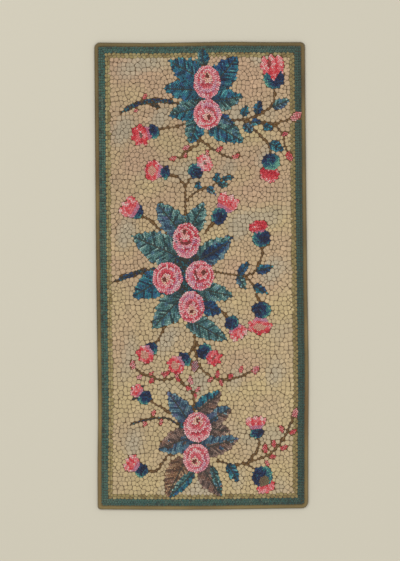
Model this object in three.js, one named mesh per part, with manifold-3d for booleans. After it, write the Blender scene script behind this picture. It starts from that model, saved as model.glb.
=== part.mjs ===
// A hooked rug: strips of wool pulled up as short loops through a foundation cloth.
// Its unhooked margin is folded flat and held in a strip of cloth that binds the edge all round.
// Millimetres, +Z up, the loops upward. The origin is the middle of the underside, and +Y runs
// along the rug to its upper end.

import * as THREE from 'three';
import { mergeVertices } from 'three/addons/utils/BufferGeometryUtils.js';
import Module from 'manifold-3d';

// Driving dimensions
const WIDTH = 610; // across the rug, over the binding
const LENGTH = 1351; // along the rug, over the binding
const LEAN = 10; // the lower end lies this far to the right of the upper end
const PILE_HEIGHT = 9; // foundation and loops together
const PILE_ROUNDING = 3; // the outermost loops round the pile's edges
const BINDING_FACE = 13; // width of the binding on the face and on the back
const BINDING_HEIGHT = 6.5; // two layers of binding with the folded margin between them
const BINDING_ROUNDING = 2.2; // the fold at the outer edge is soft
const MARGIN_LOW = 2; // underside of the folded margin
const MARGIN_HIGH = 4.5; // top of the folded margin
const MARGIN_INSET = 3.5; // from the binding's outer edge to the margin's fold
const CLEARANCE = 0.3; // between the hooked cloth and its binding

// Round stretches
const MIN_RADIUS = 4; // of a corner inside the binding
const CURVE_STEPS = 3; // for each point of a side, and twice for each corner
const BEVEL_STEPS = 3;

// Corners of the bound edge, in turn anticlockwise. The edge is hand cut, so no two are alike.
const CORNERS = [
  { name: 'lower_left', x: (LEAN - WIDTH) / 2, y: -LENGTH / 2 - 0.9, radius: 8 },
  { name: 'lower_right', x: (LEAN + WIDTH) / 2, y: -LENGTH / 2 + 2.6, radius: 19 },
  { name: 'upper_right', x: (WIDTH - LEAN) / 2, y: LENGTH / 2 + 1.3, radius: 12 },
  { name: 'upper_left', x: (-WIDTH - LEAN) / 2, y: LENGTH / 2, radius: 16 },
];

// How far a side bows out of the straight line from its corner to the next one.
// along is a share of the side's length, and out is in millimetres, inward where it is negative.
const BOWS = {
  lower_left: [
    { along: 0.2, out: 1.5 },
    { along: 0.42, out: 2.6 },
    { along: 0.6, out: 2.2 },
    { along: 0.78, out: 1 },
  ],
  lower_right: [
    { along: 0.15, out: 1.5 },
    { along: 0.3, out: 4 },
    { along: 0.48, out: 2 },
    { along: 0.75, out: 0.3 },
  ],
  upper_right: [
    { along: 0.2, out: 0.3 },
    { along: 0.36, out: 1.4 },
    { along: 0.58, out: -0.3 },
    { along: 0.75, out: -1.4 },
  ],
  upper_left: [
    { along: 0.28, out: -0.3 },
    { along: 0.52, out: -0.9 },
    { along: 0.76, out: -3.1 },
    { along: 0.9, out: -0.5 },
  ],
};

const WOOL = new THREE.MeshStandardMaterial({ color: 0xb89d78, roughness: 0.95, metalness: 0 });
const BINDING_CLOTH = new THREE.MeshStandardMaterial({ color: 0x75633f, roughness: 0.9, metalness: 0 });

const wasm = await Module();
wasm.setup();

// The bound edge's four sides as corner, next corner, direction and outward normal
function sides() {
  return CORNERS.map((corner, i) => {
    const next = CORNERS[(i + 1) % CORNERS.length];
    const start = new THREE.Vector2(corner.x, corner.y);
    const end = new THREE.Vector2(next.x, next.y);
    const span = end.clone().sub(start);
    const direction = span.clone().normalize();
    const outward = new THREE.Vector2(direction.y, -direction.x);
    return { corner, next, start, end, span, direction, outward };
  });
}

// The outline at a distance inside the bound edge: each side a spline through its bows, each corner an arc
function outline(inset) {
  const shape = new THREE.Shape();
  const all = sides();
  all.forEach((side, i) => {
    const after = all[(i + 1) % all.length];
    const startRadius = Math.max(side.corner.radius - inset, MIN_RADIUS);
    const endRadius = Math.max(side.next.radius - inset, MIN_RADIUS);
    const moved = (point, along, out) =>
      point.clone().addScaledVector(side.direction, along).addScaledVector(side.outward, out - inset);
    const first = moved(side.start, startRadius + inset, 0);
    const bows = BOWS[side.corner.name].map((bow) =>
      moved(side.start, bow.along * side.span.length(), bow.out));
    const last = moved(side.end, -endRadius - inset, 0);
    if (i === 0) shape.moveTo(first.x, first.y);
    shape.splineThru([...bows, last]);

    const centre = last.clone().addScaledVector(side.outward, -endRadius);
    shape.absarc(centre.x, centre.y, endRadius, side.outward.angle(), after.outward.angle(), false);
  });
  return shape;
}

// A slab of that outline between two heights, its edges rounded where rounding is over 0
function slab(shape, low, high, rounding = 0) {
  const geometry = new THREE.ExtrudeGeometry(shape, {
    depth: high - low - 2 * rounding,
    curveSegments: CURVE_STEPS,
    bevelEnabled: rounding > 0,
    bevelThickness: rounding,
    bevelSize: rounding,
    bevelOffset: -rounding,
    bevelSegments: BEVEL_STEPS,
  });
  geometry.translate(0, 0, low + rounding);
  return geometry;
}

// A closed geometry as a solid for joining and cutting
function solid(geometry) {
  geometry.deleteAttribute('normal');
  geometry.deleteAttribute('uv');
  const merged = mergeVertices(geometry);
  return new wasm.Manifold(new wasm.Mesh({
    numProp: 3,
    vertProperties: new Float32Array(merged.attributes.position.array),
    triVerts: new Uint32Array(merged.index.array),
  }));
}

function namedMesh(name, body, material) {
  const { vertProperties, triVerts } = body.getMesh();
  const geometry = new THREE.BufferGeometry();
  geometry.setAttribute('position', new THREE.BufferAttribute(vertProperties, 3));
  geometry.setIndex(new THREE.BufferAttribute(triVerts, 1));
  geometry.computeVertexNormals();
  const mesh = new THREE.Mesh(geometry, material);
  mesh.name = name;
  return mesh;
}

// The hooked cloth in one piece: the pile, and the margin that stays unhooked
function hookedField() {
  const pile = slab(outline(BINDING_FACE + CLEARANCE), 0, PILE_HEIGHT, PILE_ROUNDING);
  const margin = slab(outline(MARGIN_INSET), MARGIN_LOW, MARGIN_HIGH);
  return solid(pile).add(solid(margin));
}

// The binding, folded over the edge from the face to the back, with the margin's slot inside the fold
function edgeBinding() {
  const ring = outline(0);
  ring.holes.push(outline(BINDING_FACE));
  const folded = slab(ring, 0, BINDING_HEIGHT, BINDING_ROUNDING);
  const slot = slab(outline(MARGIN_INSET - CLEARANCE), MARGIN_LOW - CLEARANCE, MARGIN_HIGH + CLEARANCE);
  return solid(folded).subtract(solid(slot));
}

// Centres the uneven outline's box on the origin
function centred(group) {
  const middle = new THREE.Box3().setFromObject(group, true).getCenter(new THREE.Vector3());
  group.position.set(-middle.x, -middle.y, 0);
  return group;
}

const rug = new THREE.Group();
rug.name = 'hooked_rug';
rug.add(namedMesh('hooked_field', hookedField(), WOOL));
rug.add(namedMesh('edge_binding', edgeBinding(), BINDING_CLOTH));

export default centred(rug);
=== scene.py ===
"""A hooked rug laid flat: wool loops, foundation cloth, edge binding and its sewing.

The design is planned in millimetres on the rug's face, with +Y to its upper end, and is built in metres.
"""
import itertools
import math
from collections import namedtuple

import bpy
import numpy as np
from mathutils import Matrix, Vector, kdtree


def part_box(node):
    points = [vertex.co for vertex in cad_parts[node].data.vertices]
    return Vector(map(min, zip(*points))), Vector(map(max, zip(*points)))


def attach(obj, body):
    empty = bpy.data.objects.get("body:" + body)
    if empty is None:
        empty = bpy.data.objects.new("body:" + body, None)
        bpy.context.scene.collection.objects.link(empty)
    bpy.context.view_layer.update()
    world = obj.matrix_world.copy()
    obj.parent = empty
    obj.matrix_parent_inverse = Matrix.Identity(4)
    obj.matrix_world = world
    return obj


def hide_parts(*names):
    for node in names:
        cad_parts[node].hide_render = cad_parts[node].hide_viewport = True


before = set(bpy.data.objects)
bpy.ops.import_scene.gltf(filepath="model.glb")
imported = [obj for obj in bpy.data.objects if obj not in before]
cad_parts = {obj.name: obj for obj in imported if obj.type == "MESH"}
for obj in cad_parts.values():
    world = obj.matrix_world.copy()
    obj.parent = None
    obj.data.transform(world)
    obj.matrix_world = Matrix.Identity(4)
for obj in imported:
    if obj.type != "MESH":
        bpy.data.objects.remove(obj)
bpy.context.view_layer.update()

# Sizes in millimetres
MM = 0.001
PILE_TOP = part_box("hooked_field")[1].z / MM
PILE_ROUNDING = 3.0
BINDING_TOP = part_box("edge_binding")[1].z / MM
BINDING_ROUNDING = 2.2
BINDING_FACE = 13.0
FOUNDATION_FACE = 4.8
LOOP_FOOT = 4.6
EDGE_STEP = 1.5
MOTIF_PITCH = 4.0
MOTIF_REACH = MOTIF_PITCH / 2
LOOP_LENGTH = 6.0
STEM_PITCH = 4.2
GROUND_PITCH = 13.0
BORDER_ROWS = 3
BORDER_PITCH = 5.8
BORDER_LENGTH = 7.6
LINE_ROWS = 2
LINE_PITCH = 7.0
LINE_LENGTH = 12.0
GROUND_INSET = BORDER_ROWS * BORDER_PITCH + LINE_ROWS * LINE_PITCH

# Colours as the eye sees them, red, green and blue from 0 to 255
PALETTE = {
    "tan": (202, 178, 140),
    "pink tan": (205, 172, 140),
    "yellow tan": (207, 185, 138),
    "grey tan": (192, 178, 152),
    # The foundation's brown, also painted into the gaps between loops as painted shade
    "line": (114, 84, 48),
    "border teal": (74, 115, 98),
    "border blue": (60, 110, 102),
    "border grey": (102, 126, 108),
    "border dark": (54, 78, 68),
    "ochre": (155, 138, 90),
    "ochre light": (169, 153, 106),
    "ochre dark": (136, 117, 74),
    "heart": (124, 46, 30),
    "glow": (255, 214, 182),
    "rose slit": (136, 34, 34),
    "rose deep": (182, 24, 48),
    "rose red": (228, 58, 76),
    "rose pink": (252, 108, 122),
    "rose light": (255, 164, 174),
    "rose rim": (255, 220, 216),
    "rose shade": (206, 144, 186),
    "petal deep": (200, 20, 46),
    "petal red": (236, 52, 68),
    "petal coral": (246, 104, 106),
    "petal pink": (250, 146, 152),
    "petal pale": (255, 218, 208),
    "petal slit": (98, 74, 58),
    "petal hollow": (226, 190, 158),
    "petal lilac": (196, 142, 178),
    "cup deep": (0, 10, 52),
    "cup navy": (10, 48, 104),
    "cup teal": (30, 112, 126),
    "cup green": (120, 186, 162),
    "stem": (134, 98, 52),
    "stem dark": (104, 76, 44),
    "stem light": (156, 120, 72),
    "vein": (56, 56, 44),
    "dark heart": (44, 54, 50),
    "mauve": (176, 130, 144),
    "binding": (126, 108, 65),
    # The binding's colour in painted shade, for the edges and the underside of its roll
    "binding painted shade": (64, 55, 32),
    "binding rust": (104, 76, 44),
    "thread": (108, 93, 58),
    "floor": (208, 203, 187),
}

# A leaf's colours: its veins, three paler shades and its patches
LEAF_TINTS = {
    "teal": ((0, 38, 64), (10, 96, 124), (36, 138, 156), (104, 184, 186), (66, 112, 172)),
    "sea": ((18, 58, 64), (64, 120, 122), (112, 162, 156), (172, 206, 196), (88, 132, 172)),
    "navy": ((0, 20, 58), (0, 58, 106), (10, 98, 142), (80, 154, 176), (40, 84, 150)),
    "brown": ((88, 60, 42), (150, 106, 74), (188, 146, 110), (210, 178, 140), (168, 132, 130)),
    "mauve": ((72, 56, 52), (128, 102, 92), (166, 134, 120), (194, 164, 146), (158, 108, 84)),
    "slate": ((24, 54, 84), (66, 108, 134), (104, 146, 162), (152, 182, 184), (128, 118, 164)),
}


# The design, spray by spray. A row's places are in millimetres from the rug's middle
def by_spray(columns, **sprays):
    """The rows of a table that is grouped by spray."""
    return [columns(spray, *row) for spray, group in sprays.items() for row in group]


Rose = namedtuple("Rose", "spray x y half_width half_height heart_x heart_y twist shade blush slit pale")
ROSES = by_spray(Rose, upper=[
    (16, 560, 38, 48, 0.00, 0.45, 0.10, 270, 200, 0.15, 0.30),
    (17, 467, 40, 43, 0.12, -0.22, 0.55, 60, 300, 0.45, 0.14),
], middle=[
    (-44, 102, 39, 51, -0.16, 0.55, 0.30, 270, 20, 0.90, 0.00),
    (-98, -7, 43, 46, -0.22, -0.10, 0.80, 350, 50, 0.10, 0.04),
    (-5, 1, 41, 43, 0.32, 0.22, 0.15, 200, 275, 0.90, 0.06),
    (-29, -90, 37, 46, 0.00, -0.34, 0.60, 80, 330, 0.20, 0.08),
], lower=[
    (-12, -438, 40, 43, 0.00, 0.58, 0.45, 20, 0, 0.15, 0.24),
    (-15, -528, 38, 42, -0.15, -0.30, 0.95, 330, 50, 0.10, 0.38),
])

Bud = namedtuple("Bud", "spray x y petal_x petal_y cup_across cup_along across along kind")
BUDS = by_spray(Bud, upper=[
    (-142, 417, -175, 407, 20, 18, 30, 29, "open"),
    (210, 570, 206, 602, 28, 27, 33, 36, "tulip"),
    (201, 330, 197, 295, 24, 24, 28, 26, "cupped"),
], middle=[
    (-105, 299, -140, 304, 18, 12, 31, 26, "ringed"),
    (-17, 303, 9, 326, 20, 20, 28, 22, "pale"),
    (-185, 185, -207, 198, 20, 15, 30, 25, "tucked"),
    (51, 173, 75, 211, 21, 23, 30, 27, "frilled"),
    (173, 108, 165, 142, 25, 23, 28, 18, "barrel"),
    (174, -99, 169, -145, 26, 22, 35, 25, "ringed"),
    (88, -136, 105, -163, 19, 19, 25, 22, "frilled"),
    (-145, -211, -162, -227, 18, 17, 28, 25, "ringed"),
    (-50, -242, -73, -258, 21, 17, 28, 25, "ringed"),
    (8, -218, 35, -237, 22, 18, 24, 23, "open"),
], lower=[
    (-163, -352, -188, -332, 20, 17, 19, 16, "tucked"),
    (-174, -563, -202, -543, 19, 18, 24, 21, "tucked"),
    (160, -454, 157, -425, 19, 15, 27, 18, "tucked"),
    (176, -580, 186, -609, 28, 28, 29, 20, "hollow"),
])

Leaf = namedtuple("Leaf", "spray x y tip_x tip_y width left right")
LEAVES = by_spray(Leaf, upper=[
    (52, 464, 92, 437, 26, "navy", "slate"),
    (-2, 572, -94, 622, 72, "teal", "teal"),
    (-2, 536, -110, 542, 64, "teal", "teal"),
    (-8, 488, -93, 463, 60, "teal", "sea"),
    (-10, 456, -33, 382, 58, "teal", "sea"),
    (6, 611, 1, 659, 38, "sea", "teal"),
    (36, 550, 104, 635, 74, "navy", "teal"),
    (32, 505, 119, 519, 60, "teal", "sea"),
    (24, 446, 122, 388, 68, "sea", "teal"),
    (119, 461, 133, 494, 20, "teal", "teal"),
    (159, 468, 169, 508, 25, "teal", "navy"),
    (206, 487, 254, 510, 27, "sea", "slate"),
    (144, 443, 173, 447, 19, "navy", "teal"),
    (179, 434, 206, 426, 20, "teal", "teal"),
    (124, 440, 148, 413, 25, "slate", "teal"),
    (196, 384, 238, 364, 29, "teal", "teal"),
], middle=[
    (-60, 126, -129, 211, 70, "slate", "sea"),
    (-32, 132, 7, 211, 58, "sea", "sea"),
    (-72, 58, -200, 115, 90, "sea", "sea"),
    (-98, 2, -199, -62, 80, "teal", "teal"),
    (-54, -58, -141, -152, 78, "sea", "sea"),
    (6, 52, 82, 100, 36, "navy", "navy"),
    (-2, 46, 88, 110, 66, "sea", "slate"),
    (-2, -38, 92, -59, 54, "sea", "sea"),
    (3, -85, 56, -107, 48, "navy", "navy"),
    (-36, -128, 74, -186, 58, "sea", "sea"),
    (66, 92, 79, 121, 20, "slate", "teal"),
    (-11, 250, -8, 273, 17, "teal", "teal"),
    (17, 257, 42, 235, 19, "teal", "slate"),
    (42, 270, 48, 297, 19, "teal", "teal"),
    (49, 267, 80, 260, 17, "teal", "sea"),
    (60, 281, 94, 285, 15, "teal", "teal"),
    (107, 3, 138, 41, 23, "navy", "teal"),
    (158, 12, 207, 28, 26, "teal", "navy"),
    (104, 0, 128, -37, 25, "sea", "slate"),
    (151, -28, 190, -50, 25, "navy", "teal"),
    (-196, 5, -238, -9, 15, "navy", "navy"),
], lower=[
    (-168, -338, -171, -316, 9, "navy", "navy"),
    (-172, -355, -201, -356, 10, "navy", "navy"),
    (-38, -418, -97, -336, 58, "slate", "slate"),
    (-10, -393, 58, -334, 52, "teal", "mauve"),
    (20, -424, 86, -380, 52, "slate", "mauve"),
    (20, -442, 84, -450, 40, "mauve", "mauve"),
    (4, -500, 106, -471, 64, "slate", "mauve"),
    (-30, -466, -126, -502, 70, "slate", "mauve"),
    (-22, -568, -93, -641, 30, "teal", "sea"),
    (-46, -533, -101, -641, 72, "brown", "brown"),
    (30, -552, 58, -634, 22, "sea", "sea"),
    (4, -554, 54, -636, 60, "mauve", "mauve"),
    (78, -543, 106, -597, 32, "teal", "teal"),
])

Core = namedtuple("Core", "spray x y half_width half_height")
CORES = by_spray(Core, upper=[
    (16, 514, 46, 26),
    (-12, 512, 34, 40),
    (46, 520, 24, 50),
], middle=[
    (-48, 34, 46, 42),
    (-50, -34, 32, 44),
    (2, -50, 30, 22),
], lower=[
    (-13, -484, 48, 28),
    (-44, -436, 20, 26),
])

Stem = namedtuple("Stem", "spray points")
STEM_LINES = dict(upper=[
    [(-32, 446), (-47, 440), (-78, 430), (-115, 427), (-130, 423)],
    [(-6, 403), (-7, 391), (-16, 375), (-38, 372)],
    [(-16, 375), (-40, 362), (-60, 344), (-75, 341)],
    [(-7, 394), (12, 381), (37, 364), (64, 349), (87, 341)],
    [(55, 458), (84, 450), (123, 453), (159, 462), (182, 474), (202, 492), (211, 515), (210, 547)],
    [(107, 452), (142, 445), (176, 442), (217, 442), (257, 453)],
    [(208, 439), (224, 424), (237, 403), (241, 377), (249, 359)],
    [(127, 446), (159, 417), (185, 391), (197, 371), (202, 351)],
], middle=[
    [(-46, 150), (-46, 186), (-47, 218), (-47, 255), (-61, 278), (-75, 289), (-93, 293)],
    [(-47, 255), (-38, 273), (-30, 284)],
    [(-46, 213), (-29, 232), (-5, 248), (26, 258), (46, 271), (66, 280), (87, 284)],
    [(-101, 96), (-110, 111), (-123, 134), (-142, 154), (-159, 167), (-173, 174)],
    [(12, 125), (22, 138), (32, 151), (40, 160)],
    [(29, 15), (61, 8), (106, 1), (133, 2), (153, 12), (168, 38), (176, 64), (176, 85)],
    [(113, 1), (136, -11), (152, -34), (162, -63), (171, -83)],
    [(52, -103), (66, -110), (78, -121)],
    [(-101, -135), (-110, -155), (-123, -181), (-136, -202)],
    [(-23, -147), (-22, -170), (-19, -190), (-26, -210), (-36, -228)],
    [(-19, -184), (-9, -202)],
    [(-19, -190), (-16, -230), (-3, -265), (20, -287), (46, -298), (75, -301), (104, -294),
     (130, -284), (145, -274)],
    [(-85, -297), (-116, -301), (-142, -293), (-165, -284), (-185, -274), (-197, -262)],
    [(-69, -298), (-49, -316), (-29, -333), (-21, -352), (-21, -389)],
    [(-29, -332), (-36, -314)],
    [(-23, -340), (-13, -329)],
], lower=[
    [(-75, -404), (-98, -392), (-121, -378), (-147, -363)],
    [(-81, -520), (-98, -520), (-110, -537), (-124, -559), (-139, -567), (-159, -566)],
    [(46, -534), (69, -541), (101, -546), (127, -541), (162, -531), (194, -517), (220, -493),
     (240, -465), (257, -430), (266, -407)],
    [(136, -537), (153, -517), (166, -493), (166, -467)],
    [(121, -543), (139, -550), (150, -557)],
    [(176, -525), (194, -522)],
    [(220, -493), (234, -496)],
])
STEMS = [Stem(spray, points) for spray, lines in STEM_LINES.items() for points in lines]

Feather = namedtuple("Feather", "spray width blue points")
FEATHERS = by_spray(Feather, upper=[
    (15, 5, [(-69, 498), (-101, 505), (-133, 507), (-159, 504), (-186, 497), (-211, 485), (-234, 471)]),
    (8, 0, [(-159, 504), (-136, 494), (-121, 488)]),
], middle=[
    (15, 1, [(-147, 18), (-170, 13), (-196, 6), (-225, -5), (-250, -15)]),
], lower=[
    (7, 1, [(-69, -430), (-95, -414), (-124, -411), (-159, -417), (-185, -423), (-204, -431)]),
])

Dab = namedtuple("Dab", "spray x y angle length tint")
DABS = by_spray(Dab, upper=[
    (-164, 518, 60, 13, "petal coral"),
    (-191, 478, 200, 10, "petal coral"),
    (-45, 371, 195, 18, "petal pink"),
    (-82, 340, 180, 18, "petal coral"),
    (-47, 349, 100, 12, "petal coral"),
    (17, 356, 100, 14, "petal coral"),
    (52, 366, 20, 18, "petal coral"),
    (101, 346, 25, 20, "petal coral"),
    (273, 461, 35, 36, "petal pink"),
    (242, 410, 20, 16, "petal deep"),
    (253, 346, 290, 30, "petal red"),
], middle=[
    (-199, -257, 105, 22, "petal pink"),
    (-180, -293, 210, 16, "petal pink"),
    (-145, -282, 60, 12, "petal coral"),
    (-145, -304, 240, 16, "petal red"),
    (-102, -284, 20, 18, "petal red"),
    (-110, -286, 110, 14, "petal pink"),
    (-72, -286, 80, 14, "petal pink"),
    (-68, -299, 300, 14, "petal red"),
    (-19, -261, 270, 34, "mauve"),
    (-32, -302, 110, 22, "petal pink"),
    (-38, -325, 160, 16, "petal red"),
    (-11, -329, 50, 14, "petal pink"),
    (-17, -348, 300, 12, "petal red"),
    (47, -285, 70, 18, "petal red"),
    (26, -300, 220, 14, "petal coral"),
    (57, -309, 290, 14, "petal red"),
    (85, -290, 50, 16, "petal red"),
    (115, -271, 60, 18, "petal coral"),
    (157, -271, 50, 28, "petal pink"),
], lower=[
    (-138, -396, 80, 16, "petal coral"),
    (-164, -428, 260, 16, "petal coral"),
    (-117, -423, 260, 14, "petal coral"),
    (184, -499, 100, 22, "petal red"),
    (210, -486, 80, 18, "petal red"),
    (240, -497, 20, 20, "petal red"),
    (207, -523, 10, 16, "petal red"),
    (190, -542, 300, 14, "petal coral"),
    (265, -452, 20, 18, "petal red"),
    (232, -443, 100, 18, "petal coral"),
    (271, -397, 75, 26, "petal pink"),
])


# Loops as sets of arrays: places, reach, colour and the direction of the row
Loops = namedtuple("Loops", "at reach tint turn")


def loops(at, reach, tint, turn):
    """A set of loops. A single reach, colour or direction goes for all of them."""
    at = np.asarray(at, float).reshape(-1, 2)
    count = len(at)
    return Loops(
        at,
        np.array(np.broadcast_to(reach, count), float),
        np.array(np.broadcast_to(tint, (count, 3)), float),
        np.array(np.broadcast_to(turn, count), float),
    )


def joined(parts):
    """One set of loops from several."""
    return Loops(*(np.concatenate(column) for column in zip(*parts)))


def chosen(part, keep):
    """The loops that are marked to keep."""
    return Loops(*(column[keep] for column in part))


# Places and neighbours
def tree_of(points):
    """A tree that finds the points near a place."""
    tree = kdtree.KDTree(len(points))
    for index, (x, y) in enumerate(points):
        tree.insert((x, y, 0.0), index)
    tree.balance()
    return tree


def nearest(tree, points):
    """The index of the tree's nearest point to each point, and the distance to it."""
    found = [tree.find((x, y, 0.0)) for x, y in points]
    return np.array([f[1] for f in found], int), np.array([f[2] for f in found], float)


def neighbours(tree, points, count):
    """The indices of the nearest other points to each of the tree's own points."""
    found = [[f[1] for f in tree.find_n((x, y, 0.0), count + 1)] for x, y in points]
    return np.array(found, int)[:, 1:]


def uncovered(lower, upper, share=0.86):
    """The loops of the lower set that no loop of the upper set lies over."""
    index, distance = nearest(tree_of(upper.at), lower.at)
    return chosen(lower, distance > share * (lower.reach + upper.reach[index]))


def evenly(line, step, closed=False):
    """Points about a step apart along a line, and the line's direction at each."""
    line = np.vstack([line, line[:1]]) if closed else np.asarray(line, float)
    run = np.concatenate([[0], np.cumsum(np.linalg.norm(np.diff(line, axis=0), axis=1))])
    count = max(2, round(run[-1] / step) + (not closed))
    at = np.linspace(0, run[-1], count, endpoint=not closed)
    points = np.stack([np.interp(at, run, line[:, axis]) for axis in (0, 1)], 1)
    if closed:
        ahead = np.roll(points, -1, 0) - np.roll(points, 1, 0)
    else:
        ahead = np.gradient(points, axis=0)
    return points, np.arctan2(ahead[:, 1], ahead[:, 0])


def smooth_line(points, step):
    """Points a step apart on a smooth curve through the given ones, and its direction at each."""
    points = np.array(points, float)
    ends = np.vstack([2 * points[0] - points[1], points, 2 * points[-1] - points[-2]])
    t = np.linspace(0, 1, 12, endpoint=False)[:, None]
    pieces = []
    for a, b, c, d in zip(ends, ends[1:], ends[2:], ends[3:]):
        bend = (2 * a - 5 * b + 4 * c - d) * t**2 + (3 * b - a - 3 * c + d) * t**3
        pieces.append(b + 0.5 * ((c - a) * t + bend))
    return evenly(np.vstack([*pieces, points[-1:]]), step)


def pointing(angle):
    """Unit vectors at the given angles."""
    return np.stack([np.cos(angle), np.sin(angle)], -1)


def beside(turn):
    """Unit vectors to the left of the given directions."""
    return np.stack([-np.sin(turn), np.cos(turn)], -1)


def drift(points, wavelength, seed, waves=7):
    """Values, mostly from -1 to 1, that change smoothly over the rug."""
    draw = np.random.default_rng(seed)
    value = np.zeros(len(points))
    for _ in range(waves):
        angle, phase = draw.uniform(0, math.tau, 2)
        pace = math.tau * draw.uniform(0.6, 1.5) / wavelength
        value += np.sin(points @ (pace * np.array([math.cos(angle), math.sin(angle)])) + phase)
    return value / math.sqrt(waves)


# Colours
def shade(name):
    """A named colour."""
    return np.array(PALETTE[name], float)


def mixed(first, second, share):
    """Colours between the first and the second."""
    share = np.asarray(share, float)[..., None]
    return first * (1 - share) + second * share


def toned(tint, name, share):
    """Colours with a share of a named one mixed in."""
    return mixed(tint, shade(name), share)


def ramp(value, stops):
    """Colours for values, along stops of position and named colour."""
    places = [place for place, _ in stops]
    colours = np.array([PALETTE[name] for _, name in stops], float)
    return np.stack([np.interp(value, places, colours[:, i]) for i in range(3)], -1)


def picked(weights, count, draw):
    """One of the named colours for each loop, drawn by weight."""
    table = np.array([PALETTE[name] for name in weights], float)
    chances = np.array(list(weights.values())) / sum(weights.values())
    return table[draw.choice(len(table), count, p=chances)]


def linear(colour):
    """Light for colours as the eye sees them."""
    value = np.clip(np.asarray(colour, float) / 255, 0, 1)
    return np.where(value <= 0.04045, value / 12.92, ((value + 0.055) / 1.055) ** 2.4)


# Roses
ROSE_WINDS = 2.7
ROSE_FRILLS = 9
ROSE_STOPS = (
    (0.0, "rose deep"), (0.15, "rose red"), (0.38, "rose pink"),
    (0.62, "rose light"), (0.95, "rose rim"),
)


def rose_tint(unit, row, draw):
    """Petals that wind round an off-centre heart, dark in their folds and pale at their edges."""
    heart = np.array([row.heart_x, row.heart_y])
    away = unit - heart
    distance = np.linalg.norm(away, axis=1) + 1e-6
    facing = away / distance[:, None]
    inward = facing @ heart
    depth = distance / (np.sqrt(inward**2 + 1 - heart @ heart) - inward)
    angle = np.arctan2(away[:, 1], away[:, 0])
    ragged = 0.07 * draw.standard_normal(len(unit))
    petal = (depth * ROSE_WINDS + angle / math.tau + 0.13 * np.sin(3 * angle) + row.twist + ragged) % 1
    shaded = np.cos(angle - math.radians(row.shade))
    red = np.cos(angle - math.radians(row.blush))
    slit = (np.abs(depth - 0.56 + 0.1 * shaded) < 0.055) & (shaded > 0.8)
    fleck = draw.random(len(unit))
    tint = ramp(petal, ROSE_STOPS)
    tint = toned(tint, "rose red", 0.6 * ((red > 0.3) & (petal < 0.6) & (fleck < 0.8)))
    tint = toned(tint, "rose light", 0.4 * ((red < -0.4) & (fleck > 0.2)))
    tint = toned(tint, "rose shade", 0.55 * ((depth > 0.6) & (shaded > 0.45) & (fleck < 0.7)))
    tint = toned(tint, "rose light", np.interp(depth, [0.82, 0.92], [0, 0.65]) * (fleck < 0.85))
    tint = toned(tint, "rose rim", 0.8 * (fleck < np.interp(depth, [0.7, 0.9], [0.08, 0.3])))
    tint = toned(tint, "rose deep", 0.7 * (fleck > 0.95))
    tint = toned(tint, "rose rim", 0.6 * row.pale)
    tint = toned(tint, "rose slit", row.slit * slit)
    tint = toned(tint, "glow", (0.9 - 0.5 * row.slit) * (depth + ragged < 0.28))
    return toned(tint, "heart", 0.95 * (depth < 0.15))


def rose(row, draw):
    """Rings of loops that fill an oval with a frilled edge, from the outside in."""
    half = np.array([row.half_width, row.half_height], float)
    rings = round(half.mean() / MOTIF_PITCH)
    places, turns = [], []
    for number in range(rings):
        share = 1 - (number + 0.5) / rings
        count = max(1, round(math.tau * share * half.mean() / LOOP_LENGTH))
        angle = (np.arange(count) + draw.random()) * math.tau / count
        frill = share * (1 + 0.03 * share**4 * np.cos(ROSE_FRILLS * angle + draw.random()))
        places.append(frill[:, None] * pointing(angle))
        turns.append(angle + math.pi / 2)
    unit = np.vstack(places)
    tint = rose_tint(unit, row, draw)
    return loops(np.array([row.x, row.y]) + unit * half, MOTIF_REACH, tint, np.concatenate(turns))


# Buds
FAN_ROOM = 1.25
FAN_LOBES = 3
PETAL_NOTCH = 0.16
FANNED = ("frilled", "tucked", "tulip")
CUP_IN_FRONT = ("frilled", "tulip", "cupped", "hollow")
CUP_STOPS = ((0.1, "cup deep"), (0.4, "cup navy"), (0.75, "cup teal"), (1.15, "cup green"))
PETAL_STOPS = (
    (0.0, "petal deep"), (0.25, "petal red"), (0.5, "petal coral"),
    (0.75, "petal pink"), (1.0, "petal pale"),
)


def oval(x, y, turn, along, across, notch=0.0, lobes=7):
    """Places of loops in rows inside a notched oval, also as shares of its half sizes."""
    unit = []
    for number, u in enumerate(np.arange(-along + MOTIF_REACH, along, 0.9 * MOTIF_PITCH)):
        v = np.arange(-across, across + LOOP_LENGTH, LOOP_LENGTH) + 0.5 * LOOP_LENGTH * (number % 2)
        unit.append(np.stack([np.full(len(v), u / along), v / across], 1))
    unit = np.vstack(unit)
    angle = np.arctan2(unit[:, 1], unit[:, 0])
    edge = 1.04 - notch * np.abs(np.sin(lobes * angle / 2))
    unit = unit[np.linalg.norm(unit, axis=1) < edge]
    forward = np.array([math.cos(turn), math.sin(turn)])
    ahead = np.outer(unit[:, 0] * along, forward)
    aside = np.outer(unit[:, 1] * across, beside(turn))
    return np.array([x, y]) + ahead + aside, unit


def fan(x, y, turn, along, across):
    """Places of loops in rows inside petals that open from a calyx, also as shares of the half sizes."""
    at, unit = oval(x, y, turn, FAN_ROOM * along, FAN_ROOM * across)
    unit = unit * FAN_ROOM
    reach, spread = unit[:, 0], np.abs(unit[:, 1])
    lobe = np.abs(np.sin(math.pi * FAN_LOBES * (unit[:, 1] + 1) / 2))
    inside = (reach > -1) & (reach < 0.62 + 0.42 * lobe - 0.2 * spread**2)
    inside &= spread < np.interp(reach, [-1, 0.1], [0.6, 1.05])
    return at[inside], unit[inside]


def cup_tint(unit, kind, draw):
    """A calyx, deep blue on one side and at its back, blue-green to its rim, with paler specks."""
    front = 0.55 if kind == "cupped" else 0.05
    value = 0.26 + 0.4 * unit[:, 1] + 0.42 * np.linalg.norm(unit, axis=1) ** 3
    value += front * (unit[:, 0] + 0.5) + 0.2 * draw.standard_normal(len(unit))
    return ramp(value, CUP_STOPS)


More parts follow.
